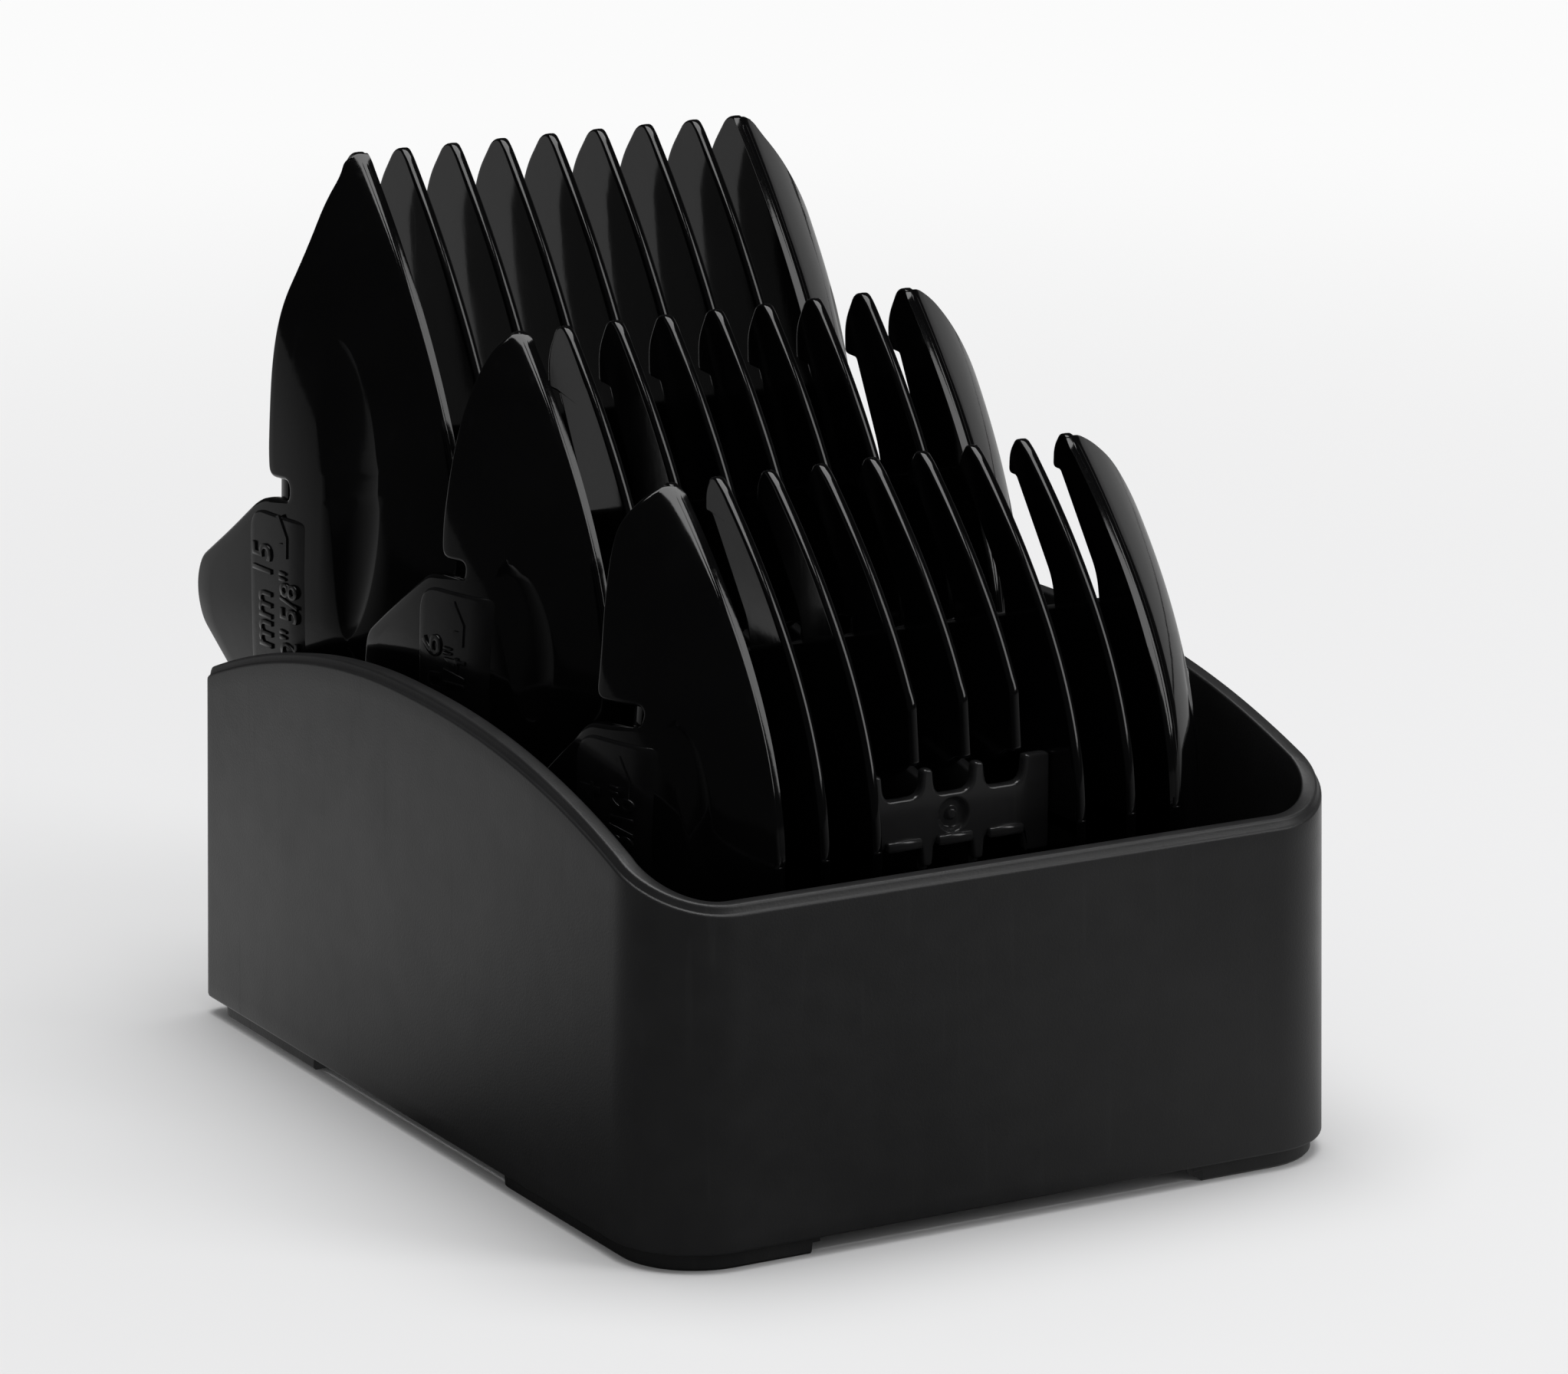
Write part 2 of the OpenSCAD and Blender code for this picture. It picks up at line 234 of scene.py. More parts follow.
finish = {
    "comb_gloss": plastic("comb_gloss_black", (0.0008, 0.0008, 0.0009), (0.0018, 0.0018, 0.002), 0.06, 0.16, 260.0,
                          0.000012, 70.0, 60.0),
    "comb_panel": plastic("comb_panel_black", (0.0025, 0.0025, 0.0027), (0.006, 0.006, 0.0064), 0.14, 0.26, 900.0,
                          0.00001, 160.0, 120.0),
    # The centre panel is the panel plastic again with a lighter base colour: painted reflection, standing in for the
    # bright sheen the panel mirrors.
    "panel_painted_reflection": plastic("centre_panel_painted_reflection", (0.016, 0.016, 0.0165), (0.024, 0.024, 0.0245), 0.14, 0.26, 900.0,
                          0.00001, 160.0, 120.0),
    "tray_satin": plastic("tray_satin_charcoal", (0.014, 0.014, 0.0145), (0.019, 0.019, 0.0195), 0.36, 0.46, 3600.0,
                          0.00002, 300.0, 40.0),
    "foot_matte": plastic("foot_matte_black", (0.012, 0.012, 0.0125), (0.02, 0.02, 0.02), 0.5, 0.62, 2600.0, 0.00003,
                          300.0, 80.0),
    "rack_satin": plastic("rack_satin_black", (0.006, 0.006, 0.0065), (0.01, 0.01, 0.0105), 0.4, 0.52, 2600.0,
                          0.00002, 300.0, 80.0),
}
print("finishes:", sorted(finish))

# %% [markdown]
# ## From grids of points to closed meshes
# Nearly every piece here is a thin plate with a shaped outline and rounded edges, so one
# surface does for all: two chains of points run up the front and the rear of an outline,
# and each row between them is a closed ring that goes across one face, round the rear
# edge, back across the other face and round the front edge. Both chains start and end at
# the same point, so the rings shrink to nothing there and the mesh closes by itself.


# %% Outline helpers
def round_corners(points, cut, steps=7):
    """Closed outline with each corner cut back by its own length and joined by a quadratic curve.
    point(t) = (1-t)^2 a + 2 t (1-t) corner + t^2 b, with a and b on the two edges beside it."""
    corner = np.asarray(points, float)
    before, after = np.roll(corner, 1, 0) - corner, np.roll(corner, -1, 0) - corner
    length_before, length_after = np.linalg.norm(before, axis=1), np.linalg.norm(after, axis=1)
    reach = np.minimum(np.asarray(cut, float), 0.495 * np.minimum(length_before, length_after))[:, None]
    a = corner + before / length_before[:, None] * reach
    b = corner + after / length_after[:, None] * reach
    t = np.linspace(0, 1, steps)[None, :, None]
    curve = (1 - t) ** 2 * a[:, None] + 2 * t * (1 - t) * corner[:, None] + t**2 * b[:, None]
    curve = curve.reshape(-1, 2)
    keep = np.linalg.norm(curve - np.roll(curve, 1, 0), axis=1) > 1e-4
    return curve[keep]


def densify(points, step):
    """Closed outline with no gap between neighbours longer than step, by straight division."""
    nxt = np.roll(points, -1, 0)
    count = np.maximum(1, np.ceil(np.linalg.norm(nxt - points, axis=1) / step).astype(int))
    start = np.repeat(np.arange(len(points)), count)
    part = np.arange(count.sum()) - np.repeat(np.cumsum(count) - count, count)
    return points[start] + (nxt - points)[start] * (part / count[start])[:, None]


def inset(points, depth):
    """The outline moved inwards by depth along the mean normal of the two edges at each point."""
    edge = np.roll(points, -1, 0) - points
    edge /= np.linalg.norm(edge, axis=1)[:, None]
    outward = np.stack([edge[:, 1], -edge[:, 0]], 1)
    x, y = points[:, 0], points[:, 1]
    if np.sum(x * np.roll(y, -1) - np.roll(x, -1) * y) < 0:
        outward = -outward
    mean = outward + np.roll(outward, 1, 0)
    mean /= np.linalg.norm(mean, axis=1)[:, None]
    return points - mean * depth


def two_chains(outline, shrunk, start, stop):
    """Splits the outline and its inset at two points into front and rear chains with matching rows.
    A row's parameter is half the share of the length walked and half the share of the height climbed."""

    def chain(direction):
        index = np.arange(len(outline))
        walk = np.roll(index, -start) if direction > 0 else np.roll(index[::-1], start + 1)
        walk = walk[: int(np.argmax(walk == stop)) + 1]
        line = outline[walk]
        length = np.concatenate([[0], np.cumsum(np.linalg.norm(np.diff(line, axis=0), axis=1))])
        climb = np.maximum.accumulate(line[:, 1] - line[0, 1])
        share = 0.5 * length / length[-1] + 0.5 * climb / max(climb[-1], 1e-9)
        return share + np.arange(len(share)) * 1e-9, line, shrunk[walk]

    one, two = chain(1), chain(-1)
    rows = np.unique(np.round(np.concatenate([one[0], two[0]]), 5))
    rows = np.append(rows[:-1][np.diff(rows) > 2.5e-4], rows[-1])
    rows[0] = 0.0
    sample = lambda share, line: np.stack([np.interp(rows, share, line[:, 0]), np.interp(rows, share, line[:, 1])], 1)
    return [(sample(s, line), sample(s, small)) for s, line, small in (one, two)]


# %% Plate surface
def plate(outline, thickness, edge, across, columns=(0, 0.03, 0.5, 0.97, 1), step=1.2, recess=None, turns=4):
    """Closed ring rows of a plate: face, rear edge, face, front edge, as an array rows by ring by 3.
    across(v, w) gives the middle of the thickness; recess(v, w) sinks the outer face."""
    line = densify(outline, step)
    start, stop = int(np.argmin(line[:, 1])), int(np.argmax(line[:, 1]))
    (front, front_in), (rear, rear_in) = two_chains(line, inset(line, edge), start, stop)
    if front[len(front) // 2, 0] > rear[len(rear) // 2, 0]:
        front, front_in, rear, rear_in = rear, rear_in, front, front_in
    share = np.asarray(columns, float)
    if share.ndim == 1:
        share = np.broadcast_to(share, (len(front), share.size))
    face = front_in[:, None] * (1 - share[..., None]) + rear_in[:, None] * share[..., None]
    angle = np.linspace(0, np.pi, 2 * turns + 1)
    flat = thickness / 2 - edge
    turn_x = np.where(angle < np.pi / 2 - 1e-6, flat,
                      np.where(angle > np.pi / 2 + 1e-6, -flat, 0)) + edge * np.cos(angle)
    turn_out = np.sin(angle)[None, 1:-1, None]
    rear_turn = rear_in[:, None] + (rear - rear_in)[:, None] * turn_out
    front_turn = front_in[:, None] + (front - front_in)[:, None] * turn_out
    flat_points = np.concatenate([face, rear_turn, face[:, ::-1], front_turn[:, ::-1]], 1)
    half = np.full(face.shape[:2], thickness / 2)
    sunk = half - (0 if recess is None else recess(face[..., 0], face[..., 1]))
    ones = np.ones((len(front), 1))
    offset = np.concatenate([sunk, ones * turn_x[1:-1], -half, ones * turn_x[1:-1][::-1]], 1)
    v, w = flat_points[..., 0], flat_points[..., 1]
    return np.stack([across(v, w) + offset, v, w], -1)


def quads(rows, ring, base=0, closed_rows=False):
    """Faces between neighbouring rows of a closed ring, as an array of four corners each."""
    i = np.arange(rows if closed_rows else rows - 1)[:, None]
    j = np.arange(ring)[None, :]
    k, n = (i + 1) % rows, (j + 1) % ring
    return base + np.stack([i * ring + j, k * ring + j, k * ring + n, i * ring + n], -1).reshape(-1, 4)


# %% Mesh maker
def build(name, grids, body, replaced, material, shift=(0, 0, 0), closed_rows=False, sharp=42, extra=None, look=None):
    """Joins grids (rows by ring by 3, in mm) into one closed mesh, then rides it and gives it its finish."""
    points, faces, base = [], [], 0
    for grid in grids:
        rows, ring = grid.shape[:2]
        points.append(grid.reshape(-1, 3) + np.asarray(shift, float))
        faces.append(quads(rows, ring, base, closed_rows))
        base += rows * ring
    points, faces = np.concatenate(points) * MM, np.concatenate(faces)
    mesh = bpy.data.meshes.new(name)
    mesh.vertices.add(len(points))
    mesh.vertices.foreach_set("co", points.ravel())
    mesh.loops.add(faces.size)
    mesh.loops.foreach_set("vertex_index", faces.ravel().astype(np.int32))
    mesh.polygons.add(len(faces))
    mesh.polygons.foreach_set("loop_start", np.arange(0, faces.size, 4, dtype=np.int32))
    mesh.update(calc_edges=True)
    work = bmesh.new()
    work.from_mesh(mesh)
    for other in extra or []:
        work.from_mesh(other)
    bmesh.ops.remove_doubles(work, verts=work.verts, dist=1e-7)
    bmesh.ops.dissolve_degenerate(work, edges=work.edges, dist=1e-8)
    bmesh.ops.holes_fill(work, edges=[e for e in work.edges if e.is_boundary], sides=0)
    bmesh.ops.recalc_face_normals(work, faces=work.faces)
    open_edges = sum(1 for e in work.edges if len(e.link_faces) != 2)
    work.to_mesh(mesh)
    work.free()
    mesh.shade_smooth()
    mesh.set_sharp_from_angle(angle=math.radians(sharp))
    made = bpy.data.objects.new(name, mesh)
    scene.collection.objects.link(made)
    made.data.materials.append(finish[look or material])
    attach(made, body)
    if replaced:
        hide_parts(*replaced)
    print(f"{name}: {len(mesh.polygons)} faces, open edges {open_edges}")
    return made


# %% [markdown]
# ## The tray
# The shell is a ring of wall: one cross-section of the wall carried round the rounded
# footprint. The section has the outer face, a crisp edge, a bevel that leans in, the flat
# top, the inner edge and the inner face. Its height follows the rim, which rises in a long
# hump along each side and dips across the rear.

# %% Footprint
WIDTH, DEPTH = tray_high[0] - tray_low[0], tray_high[1] - tray_low[1]
FOOT, WALL, DRAFT, FRONT_R, REAR_R = tray_low[2], 2.2, 0.9, 10.0, 2.0
HUMP, FRONT_H, REAR_CORNER, REAR_H, HUMP_Y = tray_high[2], 39.0, 40.4, 30.0, 5.0
CORNERS = np.array([(-1, -1, FRONT_R, 180), (1, -1, FRONT_R, 270), (1, 1, REAR_R, 0), (-1, 1, REAR_R, 90)])


def footprint(step=0.8, corner_steps=22):
    """For each point round the tray: its corner, the next corner, the share between them, its normal."""
    corner, share, normal = [], [], []
    for number, (sx, sy, radius, start) in enumerate(CORNERS):
        angle = np.radians(np.linspace(start, start + 90, corner_steps))
        length = (DEPTH if number % 2 else WIDTH) - radius - CORNERS[(number + 1) % 4, 2]
        t = np.linspace(0, 1, int(length / step))[1:-1]
        angle = np.concatenate([angle, np.full(len(t), angle[-1])])
        corner.append(np.full(len(angle), number))
        share.append(np.concatenate([np.zeros(corner_steps), t]))
        normal.append(np.stack([np.cos(angle), np.sin(angle)], 1))
    corner = np.concatenate(corner)
    return corner, (corner + 1) % 4, np.concatenate(share), np.concatenate(normal)


def offset_ring(corner, following, share, normal, offset):
    """Footprint moved in by offset (points by sections). A corner's radius shrinks to 0.4 mm at least:
    point = (1 - t) (C + R n) + t (C' + R' n), with C = sign (half - offset - R)."""
    half = np.array([WIDTH / 2, DEPTH / 2])

    def at(which):
        radius = np.maximum(CORNERS[which, 2][:, None] - offset, 0.4)[..., None]
        return CORNERS[which, None, :2] * (half - offset[..., None] - radius) + radius * normal[:, None]

    t = share[:, None, None]
    return at(corner) * (1 - t) + at(following) * t


def smooth(low, high, x):
    """0 below low, 1 above high, and 3t^2 - 2t^3 between."""
    t = np.clip((x - low) / (high - low), 0, 1)
    return t * t * (3 - 2 * t)


def rim_height(x, y):
    """Hump that falls as a power of the distance from its top: 2.3 to the front, 2 to the rear, then the dip."""
    ahead = (HUMP - FRONT_H) * (np.maximum(HUMP_Y - y, 0) / (DEPTH / 2 + HUMP_Y)) ** 2.3
    behind = (HUMP - REAR_CORNER) * (np.maximum(y - HUMP_Y, 0) / (DEPTH / 2 - HUMP_Y)) ** 2
    height = HUMP - ahead - behind
    dip = 1 - smooth(37.4, 39.3, np.abs(x))
    return np.where(y > DEPTH / 2 - 2.5, height + (REAR_H - height) * dip, height)


# %% Tray shell
def tray_grid():
    """Wall section (inward offset, height) carried round the footprint, both ways closed."""
    where = footprint()
    ring = offset_ring(*where, np.zeros((len(where[0]), 1)))[:, 0]
    top = rim_height(ring[:, 0], ring[:, 1])[:, None]
    wall = np.linspace(0, 1, 26)[1:-1]
    outer_z = FOOT + 0.5 + (top - 1.45 - FOOT - 0.5) * wall
    # Offset and depth below the rim: a crisp lower edge, a steep band, and a rounded top edge
    rim = [(0, 1.28), (0.02, 1.12), (0.1, 1.0), (0.22, 0.94), (0.3, 0.84), (0.4, 0.34), (0.47, 0.17), (0.6, 0.05),
           (0.78, 0),
           (1.9, 0), (2.08, 0.05), (2.17, 0.16), (WALL, 0.35)]
    level = np.ones_like(top)
    sections = [(0.35 * level, FOOT * level), (0.1 * level, (FOOT + 0.1) * level), (0 * level, (FOOT + 0.35) * level),
                (0 * outer_z, outer_z)]
    sections += [(o * level, top - d) for o, d in rim]
    sections += [(WALL + 0 * outer_z[:, ::3], outer_z[:, ::-3]), (WALL * level, (FOOT + 0.3) * level),
                 ((WALL - 0.1) * level, FOOT * level)]
    offset = np.concatenate([s[0] for s in sections], 1)
    height = np.concatenate([s[1] for s in sections], 1)
    offset = offset + DRAFT * (height - FOOT) / (HUMP - FOOT)
    return np.concatenate([offset_ring(*where, offset), height[..., None]], -1)


build("tray_shell_moulded", [tray_grid()], "tray", ["tray_shell"], "tray_satin", (0, TRAY_Y, 0),
             closed_rows=True, sharp=60)

# %% [markdown]
# ## Corner feet
# Four L-shaped feet stand under the corners, set in a little from the wall. Each is a
# rectangular section carried along a stretch of the footprint, and each end has a small
# step, where the foot's root runs on a little past its sole.


# %% Feet
def foot_grid(sx, sy, leg_x, leg_y, radius):
    """Section of inset, height carried along an L with a rounded corner; the ends step up from the sole."""
    inset_out, inset_in, sole, step_z, step_len = 1.2, 4.4, 0.0, 1.15, 0.9
    corner = np.array([sx * WIDTH / 2, sy * DEPTH / 2])
    angle = np.linspace(0, 1, 14) * np.pi / 2
    centre = corner - np.array([sx, sy]) * radius
    x_dir, y_dir = np.array([sx, 0.0]), np.array([0.0, sy])
    arc_normal = np.cos(angle)[:, None] * x_dir + np.sin(angle)[:, None] * y_dir
    arc = centre + radius * arc_normal
    side = lambda d: np.array([[corner[0], corner[1] - sy * d]])
    face = lambda d: np.array([[corner[0] - sx * d, corner[1]]])
    path = np.concatenate([side(leg_y), side(leg_y - step_len), side(leg_y - step_len - 0.12),
                           side(leg_y / 2 + radius / 2), arc,
                           face(leg_x / 2 + radius / 2), face(leg_x - step_len - 0.12), face(leg_x - step_len),
                           face(leg_x)])
    normal = np.concatenate([np.repeat(x_dir[None], 4, 0), arc_normal, np.repeat(y_dir[None], 4, 0)])
    low = np.full(len(path), sole)
    low[[0, 1, -1, -2]] = step_z
    high = FOOT + 0.3
    section = [(inset_out, 1), (inset_out, 0.12), (inset_out + 0.25, 0), (inset_in - 0.2, 0), (inset_in, 0.12),
               (inset_in, 1)]
    grid = [np.concatenate([path - normal * o, (low + (high - low) * h)[:, None]], 1) for o, h in section]
    grid = np.stack(grid, 1)
    middle_a, middle_b = grid[:1].mean(1, keepdims=True), grid[-1:].mean(1, keepdims=True)
    return np.concatenate([np.repeat(middle_a, grid.shape[1], 1), grid, np.repeat(middle_b, grid.shape[1], 1)])


LEG_X, FRONT_LEG, REAR_LEG, REAR_FOOT_R = 20.0, 37.0, 28.0, 5.0
feet = [foot_grid(sx, sy, LEG_X, FRONT_LEG if sy < 0 else REAR_LEG, FRONT_R if sy < 0 else REAR_FOOT_R)
        for sx in (-1, 1) for sy in (-1, 1)]
build("corner_feet_stepped", feet, "tray", ["corner_feet"], "foot_matte", (0, TRAY_Y, 0), sharp=35)

# %% [markdown]
# ## The combs' shapes
# Each comb is double-ended: from its middle, one set of tines goes up and one goes down.
# The front edge of every tine is one parabola, and the cheeks at the two sides flare out
# behind it. The table below repeats the sizes of the CAD combs, in millimetres. Places
# that the frame can tell, such as each comb's middle and tips, are read from it.

# %% Comb table
PITCH, TINE, CHEEK_X, FLARE, FLARE_DEPTH, CHEEK = 6.21, 1.2, 24.8, 12.3, 9.0, 1.8
COMBS = {
    "short_comb": dict(tip=22.3, bed=15.0, plate=22.0, text=("3 mm 4", "3/16\""),
                       rows=((17.7, 3.1, -0.7, 1.2), (12.7, 3.3, 4.2, 0.69)), arrow=(13.4, 8.0), plate_half=12.0,
                       lens=(15.6, 5.2, 0.0, 1.5),
        rear=[(31.0, 1.6, 2), (30.2, 5.0, 1.5), (23.0, 10.9, 2), (20.9, 13.1, 1.4), (13.5, 13.7, 1.05),
              (13.5, 15.9, 1.05),
              (19.9, 15.6, 1.5), (20.1, 19.9, 2), (21.2, 25.6, 4), (23.5, 33.2, 2), (23.1, 35.9, 0.9),
              (22.6, 37.0, 0.8)],
        hook=[(15.2, 20, 0.3), (15.8, 23, 1.5), (22.7, 32.0, 0.5), (23.4, 32.9, 0.4), (24.9, 32.9, 0.7),
              (24.8, 35.3, 1.4), (23.6, 36.9, 0.9)]),
    "medium_comb": dict(tip=20.6, bed=16.0, plate=22.4, text=("9 mm 6", "1/4\""),
                        rows=((18.2, 3.2, 0.0, 1.2), (14.3, 3.2, 4.7, 0.68)), arrow=(14.6, 9.6), plate_half=13.1,
                        lens=(17.6, 5.8, 0.0, 2.5),
        rear=[(35.2, 1.6, 2), (34.5, 5.2, 1.5), (23.6, 12.8, 2), (21.2, 14.5, 1.2), (15.8, 14.4, 0.95),
              (15.8, 16.4, 0.95),
              (19.4, 16.3, 1.4), (19.8, 19.5, 2), (20.0, 26.6, 4), (20.8, 34.3, 3), (21.3, 38.4, 1.5),
              (20.9, 40.1, 0.8)],
        hook=[(16.2, 20, 0.3), (16.8, 23, 1.5), (21.2, 31.2, 0.5), (21.9, 32.5, 0.4), (24.4, 32.6, 0.7),
              (24.5, 36.2, 1.6), (22.5, 39.6, 1.2)]),
    "long_comb": dict(tip=26.0, bed=24.0, plate=30.2, text=("12 mm 15", "1/2\" 5/8\""),
                      rows=((25.2, 4.1, 0.0, 0.78), (19.8, 3.4, 0.0, 0.78)), arrow=(21.8, 10.0), plate_half=12.4,
                      lens=(33.4, 5.8, 0.17, 3.2),
        rear=[(45.0, 1.2, 2), (43.8, 3.8, 1.5), (35.8, 8.7, 4), (29.6, 12.9, 2), (27.4, 13.9, 1.1),
              (22.3, 14.3, 1.05), (22.4, 16.6, 1.05),
              (26.6, 16.4, 1.5), (26.9, 19.2, 2), (26.9, 29.7, 4), (26.4, 35.2, 3), (24.6, 42.0, 4), (25.7, 50.0, 2),
              (26.4, 51.6, 0.8), (26.1, 52.6, 0.8)],
        hook=[(24.2, 20, 0.3), (28.0, 23.5, 2), (32.2, 34.0, 3.0), (33.5, 42.8, 1.2), (32.0, 47.7, 3),
              (28.2, 52.0, 1.2)]),
}
for name, comb in COMBS.items():
    low, high = box_mm(f"{name}_left_cheek")
    bed_low, bed_high = box_mm(f"{name}_blade_bed")
    comb["y"], comb["mid"] = low[1], (bed_low[2] + bed_high[2]) / 2
    comb["up"], comb["low"] = high[2] - comb["mid"], comb["mid"] - low[2]
    print(name, "front", round(comb["y"], 2), "middle", round(comb["mid"], 2), "up", round(comb["up"], 2), "down",
          round(comb["low"], 2))


# %% Comb curves
def front_depth(comb, w):
    """Depth of the front edge: tip * (w / length)^2, with the length of the upper or lower side."""
    return comb["tip"] * (w / np.where(w >= 0, comb["up"], comb["low"])) ** 2


def cheek_out(comb, v, w):
    """Half width across the cheeks: 24.8 + 12.3 (1 - exp(-s / 9)), s being the depth behind the front edge."""
    return CHEEK_X + FLARE * (1 - np.exp(-np.maximum(v - front_depth(comb, w), 0) / FLARE_DEPTH))


def stretched(comb, side, points, fixed=17.0):
    """Outline points of the upper side, or turned down and fitted to the lower length beyond 17 mm."""
    p = np.array(points, float)
    if side > 0:
        return p
    w = p[:, 1]
    p[:, 1] = -np.where(w > fixed, fixed + (w - fixed) * (comb["low"] - fixed) / (comb["up"] - fixed), w)
    return p


def front_points(comb, side, low, count=14):
    """Corner points (v, w, cut) along the front parabola from w = low up to just below the tip."""
    length = comb["up"] if side > 0 else comb["low"]
    w = np.linspace(low, length - 0.9, count)
    return np.stack([comb["tip"] * (w / length) ** 2, side * w, np.full(count, 9.0)], 1)


# %% [markdown]
# ## Cheeks
# A cheek is a flared skin from the lower tips to the upper tips. Its rear edge has a bulge
# in the middle, a slanting shoulder, a slot with a round end for the clipper's blade, and
# a long edge up to the tip. Its outer face has a shallow lens-shaped recess on each side of
# the middle, whose edges the columns of the grid follow so that they stay crisp.


# %% Cheek pieces
def cheek_outline(comb):
    """Closed outline: up the front edge, over the upper tip, down the rear edge, round the lower tip."""
    upper_rear = stretched(comb, 1, comb["rear"])[::-1]
    lower_rear = stretched(comb, -1, comb["rear"])
    front = np.concatenate([front_points(comb, -1, 2.0)[::-1], front_points(comb, 1, 2.0)])
    corners = np.concatenate([front, upper_rear, lower_rear])
    return round_corners(corners[:, :2], corners[:, 2])


def lens_edges(comb, w):
    """Depth behind the front edge of the lens's middle, its half width, and the depth of the recess there."""
    top, centre, drift, half = comb["lens"]
    middle, span = (top + 0.4) / 2, (top - 0.4) / 2
    fall = np.clip(1 - ((np.abs(w) - middle) / span) ** 2, 0, 1)
    width = half * fall**0.5
    return centre + drift * (top - np.abs(w)).clip(0), np.maximum(width, 0.25), 0.3 * np.maximum(width - 0.3, 0)


def cheek_columns(front, rear, comb, counts=(5, 12, 11)):
    """Shares across each row, with two columns tight beside each edge of the lens."""
    width = np.maximum(rear[:, 0] - front[:, 0], 0.02)
    centre, half, _ = lens_edges(comb, front[:, 1] * 0.6 + rear[:, 1] * 0.4)
    centre = np.minimum(centre, 0.6 * width)
    half = np.minimum(half, 0.35 * width)
    a, b = (centre - half) / width, (centre + half) / width
    soft = np.minimum(0.11 / width, 0.2 * (b - a))
    part = lambda lo, hi, n: lo[:, None] + (hi - lo)[:, None] * np.linspace(0, 1, n)[None]
    zero, one = np.zeros_like(a), np.ones_like(a)
    return np.concatenate([part(zero, a - soft, counts[0]), part(a + soft, b - soft, counts[1]),
                           part(b + soft, one, counts[2])], 1)


def cheek_grid(comb, side):
    """The plate surface of a cheek, with the lens sunk into its outer face."""
    line = densify(cheek_outline(comb), 0.9)
    start, stop = int(np.argmin(line[:, 1])), int(np.argmax(line[:, 1]))
    (a, a_in), (b, b_in) = two_chains(line, inset(line, 0.5), start, stop)
    front, rear = (a_in, b_in) if a[len(a) // 2, 0] < b[len(b) // 2, 0] else (b_in, a_in)
    columns = cheek_columns(front, rear, comb)
    inside = np.zeros(columns.shape[1], bool)
    inside[5:17] = True

    def recess(v, w):
        """A scoop with its deepest line in the middle: depth (1.15 - u^2), u from -1 to 1 across the lens."""
        u = (np.arange(columns.shape[1]) - 10.5) / 5.5
        return lens_edges(comb, w)[2] * np.where(inside, 1.15 - u**2, 0)[None]

    grid = plate(cheek_outline(comb), CHEEK, 0.5, lambda v, w: cheek_out(comb, v, w) - CHEEK / 2, columns, 0.9,
                 recess)
    grid[..., 0] *= side
    return grid


for name, comb in COMBS.items():
    for label, side in (("left", -1), ("right", 1)):
        build(f"{name}_{label}_cheek_flared", [cheek_grid(comb, side)], name, [f"{name}_{label}_cheek"], "comb_gloss",
              (0, comb["y"], comb["mid"]))

# %% [markdown]
# ## Tines
# Nine tines stand a pitch apart, the end ones inside the cheeks. A tine is a thin plate
# with fully rounded edges: its front edge is the parabola, its tip is a rounded thumb, and
# behind the tip a small hook ends in a ledge. The three middle tines stop short of the
# centre panel with a flat, square-cut end.


# %% Tine pieces
def long_outline(comb, side):
    """From just past the comb's middle up the front edge, over the tip and down the hooked rear edge."""
    start = np.array([[comb["bed"], -1.0, 0.3], [0.0, -1.0, 0.3]])
    start[:, 1] *= side
    hook = stretched(comb, side, comb["hook"] if side > 0 else lower_hook(comb))[::-1]
    corners = np.concatenate([start, front_points(comb, side, 1.0), tip_point(comb, side), hook])
    return round_corners(corners[:, :2], corners[:, 2])


def lower_hook(comb):
    """A smaller hook for the lower tines, so that they stay inside the tray, at the upper side's heights."""
    tip, up = comb["tip"], comb["up"]
    return [(comb["bed"] + 0.2, 20, 0.3), (comb["bed"] + 0.8, 23, 1.5), (tip + 0.6, up - 4.6, 0.5),
            (tip + 0.9, up - 4.1, 0.4),
            (tip + 2.0, up - 4.0, 0.7), (tip + 1.9, up - 1.8, 1.2), (tip + 1.2, up - 0.2, 0.9)]


def tip_point(comb, side):
    """The outermost corner of a tip, which the rounding turns into a thumb."""
    return np.array([[comb["tip"] + 0.35, side * (comb["up"] if side > 0 else comb["low"]) , 0.9]])


STUB, STUB_KINK, PANEL_V, PANEL_T = 8.6, 15.5, 5.6, 1.4


def stub_outline(comb, side):
    """The same tip and hook, but the front edge drops straight from the kink to a square end above the panel."""
    length = comb["up"] if side > 0 else comb["low"]
    kink = comb["tip"] * (STUB_KINK / length) ** 2
    start = np.array([[comb["bed"], STUB - 2, 0.3], [PANEL_V + PANEL_T, STUB - 2, 0.4], [kink + 0.6, STUB - 0.3, 0.3],
                      [kink - 0.9, STUB, 0.5], [kink - 0.2, STUB_KINK - 0.2, 1.2]])
    start[:, 1] *= side
    hook = stretched(comb, side, comb["hook"] if side > 0 else lower_hook(comb))[::-1]
    corners = np.concatenate([start, front_points(comb, side, STUB_KINK + 1.5), tip_point(comb, side), hook])
    return round_corners(corners[:, :2], corners[:, 2])


def tine_x(number):
    """Middle of a tine across the comb; the end tines lie inside the cheeks' front edges."""
    return number * PITCH if abs(number) < 4 else math.copysign(CHEEK_X - TINE / 2, number)


for name, comb in COMBS.items():
    for label, side in (("upper", 1), ("lower", -1)):
        grids = []
        for number in range(-4, 5):
            outline = stub_outline(comb, side) if abs(number) < 2 else long_outline(comb, side)
            grids.append(plate(outline, TINE, 0.3, lambda v, w, x=tine_x(number): np.full_like(v, x), step=1.5))
        build(f"{name}_{label}_tines_hooked", grids, name, [f"{name}_{label}_tines"], "comb_gloss",
              (0, comb["y"], comb["mid"]))

